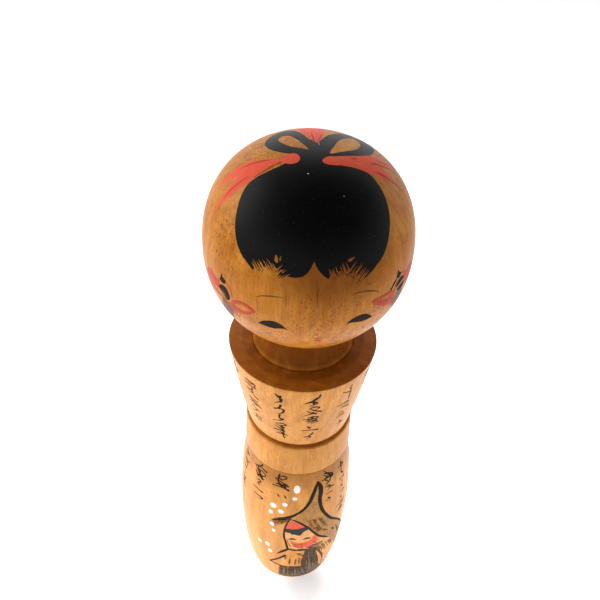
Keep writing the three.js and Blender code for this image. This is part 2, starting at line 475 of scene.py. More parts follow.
def thin_paint(name, colour, cover, roughness=0.38, shine=0.06):
    """Paint or ink thin enough for the wood to show through: cover is (least, most)."""
    tree = Tree(name)
    wood, fibres, pores = wood_pattern(tree, 0.5)
    brushed = tree.noise(tree.stretched((1, 1, 0.25)), 900, 3.0, 0.6)
    pooled = tree.noise(tree.place, 260, 3.0, 0.6)
    share = tree.math("ADD", tree.times(brushed, 0.6), tree.times(pooled, 0.6))
    share = tree.ramp(share, [(0.38, cover[0]), (0.78, cover[1])])
    painted = tree.mix(share, wood, colour)
    painted = tree.mix(tree.times(pores, 0.2), painted, SPOT_BROWN)
    return finish_wood(tree, painted, fibres, pores, (roughness, roughness + 0.14), 0.0, shine)


def white_paint():
    tree = Tree("white_paint")
    cloud = tree.noise(tree.place, 900, 3.0, 0.6)
    colour = tree.mix(cloud, (0.90, 0.86, 0.76, 1), (0.97, 0.96, 0.92, 1))
    tree.set(tree.shader.inputs["Base Color"], colour)
    tree.set(tree.shader.inputs["Roughness"], tree.math("ADD", tree.times(cloud, 0.2), 0.45))
    tree.set(tree.shader.inputs["Normal"], tree.bump(cloud, 0.3, 0.0001))
    return tree.material


# ---------------------------------------------------------------- turned pieces


def rounded(corners):
    """An outline of (radius, height, rounding) corners with each corner turned to an arc."""
    points = []
    for index, (radius, height, size) in enumerate(corners):
        here = Vector((radius, height))
        if size == 0:
            points.append(here)
            continue
        before = Vector(corners[index - 1][:2]) - here
        after = Vector(corners[(index + 1) % len(corners)][:2]) - here
        before.normalize()
        after.normalize()
        half = before.angle(after) / 2
        reach = size / math.tan(half)
        centre = here + (before + after).normalized() * (size / math.sin(half))
        start = here + before * reach - centre
        end = here + after * reach - centre
        steps = 6
        for step in range(steps + 1):
            share = step / steps
            arm = start.lerp(end, share)
            points.append(centre + arm.normalized() * size)
    return points


def turned(name, outline, body, material, node):
    """A lathe mesh from an outline of (radius, height) that starts and ends on the axis or closes."""
    closed = outline[0][0] > 0
    rows = []
    verts = []
    faces = []
    for radius, height in outline:
        if radius < 1e-6:
            verts.append((0, 0, height * MM))
            rows.append([len(verts) - 1] * LATHE_SEGMENTS)
            continue
        start = len(verts)
        for i in range(LATHE_SEGMENTS):
            angle = 2 * math.pi * i / LATHE_SEGMENTS
            verts.append((radius * math.cos(angle) * MM, radius * math.sin(angle) * MM, height * MM))
        rows.append(list(range(start, start + LATHE_SEGMENTS)))
    pairs = list(zip(rows, rows[1:]))
    if closed:
        pairs.append((rows[-1], rows[0]))
    for low, high in pairs:
        for i in range(LATHE_SEGMENTS):
            j = (i + 1) % LATHE_SEGMENTS
            corners = [low[i], low[j], high[j], high[i]]
            face = [v for k, v in enumerate(corners) if v not in corners[:k]]
            faces.append(face)
    piece = add_piece(name, verts, faces, body, material)
    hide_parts(node)


def add_piece(name, verts, faces, body, material):
    mesh = bpy.data.meshes.new(name)
    mesh.from_pydata(verts, [], faces)
    mesh.materials.append(material)
    mesh.shade_smooth()
    mesh.set_sharp_from_angle(angle=SHARP_ANGLE)
    piece = bpy.data.objects.new(name, mesh)
    bpy.context.scene.collection.objects.link(piece)
    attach(piece, body)
    return piece


def hermite(knots, at):
    """Smooth curve through (place, value) knots."""
    places = [k[0] for k in knots]
    index = max(0, min(len(knots) - 2, sum(p <= at for p in places) - 1))

    def slope(i):
        low = knots[max(i - 1, 0)]
        high = knots[min(i + 1, len(knots) - 1)]
        return (high[1] - low[1]) / (high[0] - low[0])

    (x0, y0), (x1, y1) = knots[index], knots[index + 1]
    width = x1 - x0
    t = (at - x0) / width
    return (
        y0 * (1 + 2 * t) * (1 - t) ** 2
        + y1 * t * t * (3 - 2 * t)
        + slope(index) * width * t * (1 - t) ** 2
        - slope(index + 1) * width * t * t * (1 - t)
    )


def barrel_radius(height):
    return hermite(BARREL_SIDE, height) - PAINT_ROOM


def cone_radius(height):
    share = (height - CONE_FOOT) / (UPPER_HIGH.z - CONE_FOOT)
    straight = CONE_FOOT_RADIUS + (COLLAR_RADIUS - CONE_FOOT_RADIUS) * share
    return straight + CONE_BULGE * math.sin(math.pi * min(max(share, 0), 1))


def head_reach(across, rise):
    """Distance from the head's centre to its surface along a way (across, rise)."""
    half, power = (CROWN_HEIGHT, CROWN_EXPONENT) if rise >= 0 else (CHIN_DEPTH, CHIN_EXPONENT)
    return ((across / HEAD_RADIUS) ** power + (abs(rise) / half) ** power) ** (-1 / power)


def head_outline():
    seat = HEAD_LOW.z
    bore_top = NECK_DOWEL_HIGH.z + GAP
    drop = HEAD_CENTRE - seat
    seat_radius = HEAD_RADIUS * (1 - (drop / CHIN_DEPTH) ** CHIN_EXPONENT) ** (1 / CHIN_EXPONENT)
    start = -math.atan2(drop, seat_radius)
    steps = 110
    outline = [(0, bore_top), (SOCKET_RADIUS, bore_top), (SOCKET_RADIUS, seat),
               (seat_radius - 0.5, seat)]
    for i in range(1, steps):
        angle = start + (math.pi / 2 - start) * i / steps
        across, rise = math.cos(angle), math.sin(angle)
        reach = head_reach(across, rise)
        outline.append((across * reach, HEAD_CENTRE + rise * reach))
    outline.append((0, HEAD_CENTRE + CROWN_HEIGHT))
    return outline


def neck_outline():
    low, high = NECK_LOW.z, NECK_HIGH.z
    side = [(low + 1.0, NECK_RADIUS), (low + 4.5, 18.1), (low + 8.7, 17.4), (high, 18.2)]
    outline = [tuple(p) for p in rounded([
        (SOCKET_RADIUS, low, 0),
        (NECK_RADIUS, low, 0.5),
        (NECK_RADIUS, low + 1.0, 0),
    ])]
    steps = 24
    for i in range(1, steps + 1):
        height = low + 1.0 + (high - low - 1.0) * i / steps
        outline.append((hermite(side, height), height))
    outline.append((SOCKET_RADIUS, high))
    return outline


def upper_outline():
    seat = UPPER_LOW.z
    top = UPPER_HIGH.z
    foot_socket = WAIST_DOWEL_HIGH.z + GAP
    head_socket = NECK_DOWEL_LOW.z - GAP
    recess = top - NECK_RECESS
    recess_radius = NECK_RADIUS + 0.12
    edge = 0.35
    inner = rounded([
        (0, foot_socket, 0), (SOCKET_RADIUS, foot_socket, 0), (SOCKET_RADIUS, seat, 0),
        (GROOVE_RADIUS, seat, 0), (GROOVE_RADIUS, CONE_FOOT, 0.3), (CONE_FOOT_RADIUS, CONE_FOOT, 0.5),
        (cone_radius(CONE_FOOT + 1), CONE_FOOT + 1, 0),
    ])
    steps = 40
    side = []
    for i in range(1, steps):
        height = CONE_FOOT + 1 + (top - edge - 1 - CONE_FOOT - 1) * i / steps
        side.append(Vector((cone_radius(height), height)))
    outer = rounded([
        (cone_radius(top - edge - 1), top - edge - 1, 0), (COLLAR_RADIUS, top, edge),
        (recess_radius, top, 0.2), (recess_radius, recess, 0), (SOCKET_RADIUS, recess, 0),
        (SOCKET_RADIUS, head_socket, 0), (0, head_socket, 0),
    ])
    return [tuple(p) for p in [*inner, *side, *outer]]


def belt_outline():
    low, high = BELT_LOW.z, BELT_HIGH.z
    return [tuple(p) for p in rounded([
        (SOCKET_RADIUS, low, 0), (BELT_RADIUS, low, 0.9),
        (BELT_TOP_RADIUS, high, 0.8), (SOCKET_RADIUS, high, 0),
    ])]


def lower_outline():
    top = LOWER_HIGH.z
    socket = WAIST_DOWEL_LOW.z - GAP
    first, last = BARREL_SIDE[0][0], BARREL_SIDE[-1][0]
    foot_radius = barrel_radius(first)
    outline = [(0, 0), (foot_radius - 0.75, 0), (foot_radius - 0.3, 0.15)]
    steps = 90
    for i in range(steps + 1):
        height = first + (last - first) * i / steps
        outline.append((barrel_radius(height), height))
    outline += [
        (barrel_radius(last) - 0.5, top), (SOCKET_RADIUS, top), (SOCKET_RADIUS, socket), (0, socket),
    ]
    return outline


# ---------------------------------------------------------------- charts and skins of paint


class HeadChart:
    """A flat map of the head about one point, x to the viewer's right and y up, facing it."""

    def __init__(self, azimuth, elevation, mirror=1):
        side, rise = math.radians(azimuth), math.radians(elevation)
        out = Vector((math.sin(side) * math.cos(rise), -math.cos(side) * math.cos(rise), math.sin(rise)))
        right = Vector((math.cos(side), math.sin(side), 0))
        self.out = out
        self.right = right
        self.up = right.cross(out) * -1
        self.mirror = mirror

    def place(self, x, y):
        """Point and outward normal, in millimetres."""
        reach = math.hypot(x, y)
        angle = reach / CHART_SCALE
        across = Vector((0, 0, 0)) if reach < 1e-9 else (
            self.right * (x * self.mirror / reach) + self.up * (y / reach)
        )
        way = self.out * math.cos(angle) + across * math.sin(angle)
        side = math.hypot(way.x, way.y)
        reach = head_reach(side, way.z)
        half, power = (CROWN_HEIGHT, CROWN_EXPONENT) if way.z >= 0 else (CHIN_DEPTH, CHIN_EXPONENT)
        steep = (side * reach / HEAD_RADIUS) ** (power - 1) / HEAD_RADIUS
        rise = math.copysign((abs(way.z) * reach / half) ** (power - 1) / half, way.z)
        flat = Vector((way.x, way.y, 0)).normalized() * steep
        normal = Vector((flat.x, flat.y, rise)).normalized()
        return way * reach + Vector((0, 0, HEAD_CENTRE)), normal


class SideChart:
    """A flat map round the body: x round it from the front, y the height."""

    mirror = 1

    def __init__(self, radius_at):
        self.radius_at = radius_at

    def place(self, x, y):
        angle = x / SIDE_SCALE
        radius = self.radius_at(y)
        slope = (self.radius_at(y + 0.1) - self.radius_at(y - 0.1)) / 0.2
        out = Vector((math.sin(angle), -math.cos(angle), 0))
        point = out * radius + Vector((0, 0, y))
        return point, (out - Vector((0, 0, slope))).normalized()


def smooth(points, steps=6, closed=False):
    """A Catmull-Rom curve through points of any number of values."""
    count = len(points)
    made = []
    last = count if closed else count - 1
    for i in range(last):
        if closed:
            a, b, c, d = (points[(i + k) % count] for k in (-1, 0, 1, 2))
        else:
            a, b, c, d = (points[min(max(i + k, 0), count - 1)] for k in (-1, 0, 1, 2))
        for step in range(steps):
            t = step / steps
            made.append(tuple(
                0.5 * (2 * q + (r - p) * t + (2 * p - 5 * q + 4 * r - s) * t * t
                       + (3 * q - p - 3 * r + s) * t ** 3)
                for p, q, r, s in zip(a, b, c, d)
            ))
    if not closed:
        made.append(tuple(float(v) for v in points[-1]))
    return made


def chained(*runs):
    """One closed outline from smooth runs that meet at sharp corners."""
    outline = []
    for run in runs:
        outline += smooth(run)[:-1]
    return outline


def stroke(points, steps=5):
    """Four-sided steps and round ends that cover a brush stroke through (x, y, width) points."""
    line = smooth(points, steps)
    lefts, rights = [], []
    for i, (x, y, width) in enumerate(line):
        x0, y0, _ = line[max(i - 1, 0)]
        x1, y1, _ = line[min(i + 1, len(line) - 1)]
        length = math.hypot(x1 - x0, y1 - y0) or 1.0
        nx, ny = -(y1 - y0) / length, (x1 - x0) / length
        half = max(width, 0.04) / 2
        lefts.append((x + nx * half, y + ny * half))
        rights.append((x - nx * half, y - ny * half))
    parts = [[rights[i], rights[i + 1], lefts[i + 1], lefts[i]] for i in range(len(line) - 1)]
    for x, y, width in (line[0], line[-1]):
        if width > 0.3:
            parts.append(dot(x, y, width / 2 * 0.98, width / 2 * 0.98, 10))
    return parts


def loop(points):
    """A closed smooth outline."""
    return smooth(points, closed=True)


def strokes(lines):
    """One patch for each brush stroke."""
    return [(stroke(line), []) for line in lines]


def areas(*outlines):
    """One patch for each outline, without holes."""
    return [([outline], []) for outline in outlines]


def dot(x, y, across, high, sides=20):
    return [
        (x + across * math.cos(2 * math.pi * i / sides), y + high * math.sin(2 * math.pi * i / sides))
        for i in range(sides)
    ]


def area(outline):
    total = 0.0
    for (x0, y0), (x1, y1) in zip(outline, outline[1:] + outline[:1]):
        total += x0 * y1 - x1 * y0
    return total / 2


def fill(outlines, holes, spacing):
    """Triangles that cover the outlines and leave out the holes, as flat points and faces."""
    coords, loops = [], []
    for outline in [*outlines, *holes]:
        outline = [tuple(p[:2]) for p in outline]
        if abs(area(outline)) < 1e-6:
            continue
        if area(outline) < 0:
            outline.reverse()
        loops.append(list(range(len(coords), len(coords) + len(outline))))
        coords += [Vector(p) for p in outline]
    first_hole = len(loops) - len(holes)
    low_x, high_x = min(c.x for c in coords), max(c.x for c in coords)
    low_y, high_y = min(c.y for c in coords), max(c.y for c in coords)
    rows = int((high_y - low_y) / (spacing * 0.866))
    for row in range(1, rows + 1):
        shift = 0.5 * spacing * (row % 2)
        for column in range(int((high_x - low_x) / spacing)):
            coords.append(Vector((
                low_x + shift + spacing * (column + 0.3), low_y + row * spacing * 0.866,
            )))
    points, _, faces, _, _, sources = geometry.delaunay_2d_cdt(coords, [], loops, 1, 1e-4)
    kept = [
        tuple(face) for face, source in zip(faces, sources)
        if source and not any(s >= first_hole for s in source)
    ]
    return points, kept


def skin(flat, faces, chart, lift, depth):
    """Closes flat faces into a thin skin on the chart's surface. Returns verts and faces."""
    used = sorted({v for face in faces for v in face})
    order = {v: i for i, v in enumerate(used)}
    count = len(used)
    places = [chart.place(flat[v].x, flat[v].y) for v in used]
    verts = [(point + normal * lift) * MM for point, normal in places]
    verts += [(point - normal * depth) * MM for point, normal in places]
    flip = chart.mirror < 0
    made = []
    edges = {}
    for face in faces:
        top = [order[v] for v in face]
        if flip:
            top.reverse()
        made.append(top)
        made.append([v + count for v in reversed(top)])
        for a, b in zip(top, top[1:] + top[:1]):
            edges[(a, b)] = edges.get((a, b), 0) + 1
    for a, b in edges:
        if (b, a) not in edges:
            made.append([b, a, a + count, b + count])
    return verts, made


LAYER = 0.012                              # each coat of paint stands this much prouder
PAINT_DEPTH = 0.05                         # how far a skin reaches into the wood


def paint(name, chart, patches, material, body, layer=1, spacing=1.0):
    """One painted piece from patches, each a pair of outlines and holes laid on the same chart."""
    verts, faces = [], []
    for outlines, holes in patches:
        flat, flat_faces = fill(outlines, holes, spacing)
        more_verts, more_faces = skin(flat, flat_faces, chart, LAYER * layer, PAINT_DEPTH)
        start = len(verts)
        verts += more_verts
        faces += [[v + start for v in face] for face in more_faces]
    return add_piece(name, verts, faces, body, material)


# ---------------------------------------------------------------- the painted head

HEAD = "doll_head"
BODY = "doll_body"


def bristles(rng, base, tip, count, width, lengths):
    """Fine tapering strokes. base and tip are curves of (x, y); each stroke runs from one to the other."""
    parts = []
    bases, tips = smooth(base, 12), smooth(tip, 12)
    for i in range(count):
        share = (i + rng.uniform(-0.35, 0.35)) / max(count - 1, 1)
        share = min(max(share, 0), 1)
        bx, by = bases[round(share * (len(bases) - 1))]
        tx, ty = tips[round(share * (len(tips) - 1))]
        reach = rng.uniform(*lengths)
        ex, ey = bx + (tx - bx) * reach, by + (ty - by) * reach
        bend = rng.uniform(-0.25, 0.25)
        mx, my = (bx + ex) / 2 - (ey - by) * bend * 0.3, (by + ey) / 2 + (ex - bx) * bend * 0.3
        thick = width * rng.uniform(0.7, 1.3)
        parts += stroke([(bx, by, thick), (mx, my, thick * 0.8), (ex, ey, 0.05)], 4)
    return parts


def paint_hair(black, white):
    chart = HeadChart(0, 35)
    rng = random.Random(11)
    left_side = [
        (-5.6, 28.5), (-10.1, 24.9), (-14.4, 22.8), (-18.6, 20.9), (-21.4, 18.7), (-23.4, 15.3),
        (-24.8, 10.6), (-25.5, 6.2), (-25.3, 2.0), (-24.1, -2.0), (-22.2, -4.9), (-20.4, -7.3),
    ]
    left_fringe = [
        (-20.4, -7.3), (-19.3, -6.1), (-17.5, -6.1), (-15.6, -5.8), (-13.9, -6.3), (-12.4, -6.3),
        (-10.9, -7.2), (-9.8, -8.8),
    ]
    left_lobe = [(-9.8, -8.8), (-8.0, -9.2), (-6.0, -9.0), (-4.4, -8.1), (-3.2, -6.5), (-2.2, -4.4)]
    parting = [(-2.2, -4.4), (-1.4, -6.3), (-0.4, -7.7), (0.8, -8.9), (2.0, -9.8)]
    right_fringe = [
        (2.0, -9.8), (2.7, -8.3), (4.5, -7.6), (6.4, -7.2), (8.1, -7.4), (9.8, -7.9), (11.2, -9.0),
        (12.2, -10.2), (13.4, -9.9), (14.9, -8.5),
    ]
    right_side = [
        (14.9, -8.5), (16.8, -6.7), (19.0, -4.0), (20.4, -0.6), (21.2, 3.8), (21.5, 7.7), (21.0, 11.9),
        (19.8, 15.7), (18.1, 18.9), (16.2, 21.3), (12.0, 23.0), (7.2, 23.9), (3.7, 24.9), (3.0, 28.6),
    ]
    mass = chained(left_side, left_fringe, left_lobe, parting, right_fringe, right_side)
    hairs = bristles(rng, [(-20.6, -4.4), (-17.5, -3.3), (-14.2, -4.0)],
                     [(-18.9, -7.7), (-15.8, -7.0), (-12.4, -7.5)], 14, 0.85, (0.8, 1.05))
    hairs += bristles(rng, [(-13.2, -4.2), (-10.6, -5.2), (-8.6, -7.4)],
                      [(-15.0, -7.0), (-13.4, -8.2), (-12.4, -9.9)], 10, 0.7, (0.65, 1.05))
    hairs += bristles(rng, [(1.3, -6.6), (3.6, -4.9), (6.6, -4.6)],
                      [(3.6, -9.9), (5.9, -8.8), (8.8, -8.4)], 14, 0.6, (0.75, 1.05))
    hairs += bristles(rng, [(8.6, -3.9), (12.6, -4.6), (16.6, -6.5)],
                      [(5.2, -8.2), (8.6, -10.0), (11.4, -12.1)], 18, 0.8, (0.8, 1.05))
    gaps = bristles(rng, [(-19.2, -6.9), (-16.0, -6.5), (-12.7, -7.0)],
                    [(-20.6, -4.0), (-17.6, -3.1), (-14.4, -3.6)], 9, 0.5, (0.6, 1.05))
    gaps += bristles(rng, [(-12.8, -6.9), (-11.4, -7.8), (-10.8, -9.2)],
                     [(-10.8, -5.2), (-9.6, -6.4), (-8.0, -7.7)], 4, 0.36, (0.6, 1.0))
    gaps += bristles(rng, [(2.8, -9.2), (5.4, -8.4), (8.0, -8.0)],
                     [(1.8, -6.2), (4.0, -5.2), (6.6, -4.6)], 8, 0.42, (0.6, 1.0))
    gaps += bristles(rng, [(7.2, -8.2), (9.9, -9.4), (12.3, -10.9)],
                     [(9.9, -4.2), (12.6, -5.3), (15.4, -7.2)], 9, 0.5, (0.65, 1.05))
    gaps += [
        loop([(-12.8, -2.4), (-12.3, -3.4), (-12.3, -4.6), (-12.9, -4.7), (-13.3, -3.8)]),
        loop([(-11.4, -2.9), (-11.3, -3.6), (-11.7, -4.3), (-11.9, -3.6)]),
        loop([(7.2, -4.4), (8.2, -3.8), (9.5, -3.5), (8.9, -4.2), (7.9, -4.9)]),
    ]
    paint("hair", chart, [([mass, *hairs], gaps)], black, HEAD, 2, 1.0)
    chips = areas(dot(-3.0, 20.6, 0.2, 0.14, 10), dot(6.6, 13.2, 0.12, 0.08, 10))
    chips += strokes([[(1.8, 34.0, 0.08), (1.9, 34.9, 0.2)]])
    paint("chips", chart, chips, white, HEAD, 5, 0.5)


def paint_bow(black, red, maroon):
    chart = HeadChart(0, 75)
    left_loop = loop([
        (0.8, 10.1), (-1.1, 12.7), (-2.3, 15.8), (-3.7, 19.2), (-5.9, 21.9), (-9.0, 22.1),
        (-12.2, 19.6), (-14.2, 16.0), (-14.5, 12.6), (-13.3, 9.3), (-10.9, 6.7), (-7.9, 4.9),
        (-4.4, 3.6), (-1.5, 4.9),
    ])
    left_hole = loop([
        (-1.9, 6.4), (-3.2, 9.6), (-4.8, 13.0), (-6.8, 16.1), (-8.5, 16.8), (-10.0, 15.7),
        (-10.4, 13.8), (-9.2, 11.1), (-6.9, 8.6), (-4.3, 7.3),
    ])
    right_loop = loop([
        (1.8, 10.3), (3.5, 13.3), (5.3, 16.0), (8.4, 18.5), (12.2, 20.8), (15.9, 21.1), (19.1, 20.0),
        (21.4, 18.7), (20.7, 13.7), (19.1, 9.8), (16.8, 6.9), (13.0, 4.9), (8.8, 3.6), (4.5, 2.9),
        (2.5, 4.9),
    ])
    right_hole = loop([
        (4.3, 4.2), (6.0, 8.2), (8.0, 12.1), (10.4, 15.0), (13.0, 16.9), (15.0, 15.9), (15.4, 13.2),
        (14.2, 10.0), (11.7, 7.4), (8.2, 5.6),
    ])
    knot = loop([
        (-5.2, 4.3), (-4.8, 1.0), (-5.4, -2.0), (-1.5, -2.3), (2.6, -1.9), (1.9, 0.5), (4.8, 3.2),
        (4.2, 8.0), (3.5, 12.5), (1.9, 10.6), (0.8, 10.4), (-1.1, 12.5), (-2.7, 7.9),
    ])
    paint("bow", chart, [([left_loop, right_loop, knot], [left_hole, right_hole])],
          black, HEAD, 3, 1.0)

    left_ribbon = chained(
        [(-8.5, 3.2), (-11.9, 3.5), (-15.2, 4.5), (-18.9, 5.7), (-22.6, 6.0), (-26.2, 5.6),
         (-29.8, 4.8), (-33.5, 3.7)],
        [(-33.5, 3.7), (-28.9, 3.1), (-26.2, 2.4), (-23.3, 1.6)],
        [(-23.3, 1.6), (-26.2, -0.5), (-29.9, -2.3), (-35.3, -4.3)],
        [(-35.3, -4.3), (-30.0, -4.3), (-25.3, -3.8), (-20.7, -2.8), (-16.1, -1.4), (-11.9, 0.6),
         (-8.5, 0.9)],
        [(-8.5, 0.9), (-8.5, 3.2)],
    )
    right_ribbon = chained(
        [(6.3, 3.0), (9.7, 3.7), (13.0, 4.8), (16.6, 6.5), (20.0, 7.4), (23.4, 7.3), (27.6, 6.5)],
        [(27.6, 6.5), (24.6, 5.4), (21.8, 4.4), (18.8, 3.3)],
        [(18.8, 3.3), (21.6, 2.0), (23.6, 0.4), (27.6, -1.2)],
        [(27.6, -1.2), (24.4, -1.7), (20.4, -2.2), (16.3, -2.0), (11.7, -1.4), (6.1, -1.0)],
        [(6.1, -1.1), (6.3, 3.1)],
    )
    back_ribbon = chained(
        [(1.2, 8.9), (-0.7, 13.3), (-2.1, 16.6), (-3.4, 21.9), (-4.4, 26.8), (-5.7, 26.3)],
        [(-5.7, 26.3), (-3.4, 25.4), (0.1, 26.1)],
        [(0.1, 26.1), (2.8, 25.6), (6.0, 24.6)],
        [(6.0, 24.6), (5.8, 25.0), (5.3, 22.9), (4.0, 16.8), (2.8, 13.0), (1.2, 8.9)],
    )
    paint("ribbons", chart, areas(left_ribbon, right_ribbon, back_ribbon),
          red, HEAD, 1, 1.0)
    left_knot = loop([
        (-9.7, 2.2), (-8.7, 3.9), (-6.9, 4.7), (-5.3, 4.0), (-4.6, 2.0), (-5.4, 0.4),
        (-7.1, -0.1), (-8.8, 0.5),
    ])
    right_knot = loop([
        (1.6, 0.5), (2.8, 2.1), (4.7, 2.8), (6.8, 2.3), (8.3, 0.8), (6.7, -0.9), (4.4, -1.1),
        (2.5, -0.7),
    ])
    paint("knots", chart, areas(left_knot, right_knot), red, HEAD, 4, 0.8)
    dry_strokes = [
        [(-10.4, 1.3, 0.9), (-14.2, -0.3, 0.8), (-18.2, -1.9, 0.3)],
        [(-13.0, 3.4, 0.2), (-17.6, 4.2, 0.5), (-22.8, 4.6, 0.1)],
        [(-20.0, -0.6, 0.2), (-24.6, -1.6, 0.5), (-29.6, -3.2, 0.1)],
        [(16.4, 2.2, 0.2), (18.8, 3.5, 0.9), (22.4, 4.0, 0.5), (25.0, 4.9, 0.1)],
        [(18.6, 5.2, 0.1), (21.4, 6.0, 0.7), (24.6, 6.6, 0.1)],
        [(17.6, -0.6, 0.1), (20.6, -0.7, 0.9), (24.0, -1.2, 0.6), (28.8, -1.7, 0.1)],
        [(10.2, 2.6, 0.1), (11.4, 2.9, 0.5), (12.4, 3.4, 0.1)],
        [(0.3, 10.8, 0.7), (0.3, 14.2, 0.5), (0.1, 18.4, 0.1)],
        [(1.5, 11.2, 0.3), (2.6, 14.0, 0.4), (3.4, 17.0, 0.1)],
    ]
    paint("dry_strokes", chart, strokes(dry_strokes),
          maroon, HEAD, 3, 0.8)


def paint_face(ink, brown, red, stain_and_shade):
    chart = HeadChart(0, -12)
    left_eye = chained(
        [(-19.2, -2.6), (-18.0, -0.6), (-16.5, 0.7), (-14.0, 1.6), (-12.0, 1.1), (-10.4, -0.2),
         (-9.0, -1.6)],
        [(-9.0, -1.6), (-10.2, -1.1), (-11.7, -1.3), (-13.4, -2.1), (-15.4, -2.5), (-17.2, -2.4),
         (-19.2, -2.6)],
    )
    right_eye = chained(
        [(8.8, 0.8), (9.8, 2.2), (11.2, 3.1), (13.2, 3.6), (15.2, 3.2), (16.9, 1.8), (18.4, -0.3)],
        [(18.4, -0.3), (16.8, -0.5), (15.0, -0.4), (13.2, 0.1), (11.4, 0.8), (10.0, 1.1), (8.8, 0.8)],
    )
    paint("eyes", chart, areas(left_eye, right_eye), ink, HEAD, 2, 0.7)
    brows_and_nose = strokes([
        [(-20.3, 9.4, 0.12), (-18.5, 10.8, 0.4), (-16.0, 11.7, 0.5), (-13.9, 12.2, 0.55),
         (-11.0, 12.6, 0.1)],
        [(10.2, 13.2, 0.2), (12.4, 13.4, 0.55), (15.2, 12.8, 0.55), (18.0, 11.6, 0.45),
         (20.5, 9.6, 0.12)],
        [(-0.5, -1.9, 0.1), (-0.1, -2.9, 0.35), (0.3, -3.9, 0.15)],
    ])
    paint("brows_and_nose", chart, brows_and_nose, brown, HEAD, 1, 0.6)
    lips = strokes([
        [(-0.9, -5.1, 0.5), (0.5, -5.5, 1.1), (2.0, -5.3, 0.4)],
        [(-0.3, -6.8, 0.8), (0.8, -7.1, 1.5), (1.7, -7.0, 0.7)],
        [(0.5, -8.4, 0.3), (1.0, -8.5, 0.6), (1.5, -8.4, 0.2)],
    ])
    paint("mouth", chart, lips, red, HEAD, 1, 0.6)
    cracks = strokes([
        [(-1.4, 20.0, 0.2), (-1.2, 17.0, 0.6), (-1.0, 13.5, 0.4), (-0.7, 9.5, 0.1)],
        [(-19.9, 9.2, 0.1), (-19.6, 7.4, 0.3), (-19.4, 3.8, 0.1)],
        [(0.4, 12.0, 0.1), (0.9, 8.0, 0.3), (1.4, 3.6, 0.1)],
        [(-10.6, 16.0, 0.1), (-10.4, 12.2, 0.35), (-10.3, 8.6, 0.1)],
    ])
    paint("grain_cracks", chart, cracks, stain_and_shade, HEAD, 1, 0.6)


def paint_flower(name, chart, shapes, inks):
    """The ornament at one ear, each shape an outline with its holes or a brush stroke."""
    for part, (layer, outlines, lines) in shapes.items():
        patches = [([loop(outline)], [loop(hole) for hole in holes]) for outline, *holes in outlines]
        patches += strokes(lines)
        ink, slot = inks[part]
        paint(f"{name}_{part}", chart, patches, ink, HEAD, layer, 0.8)


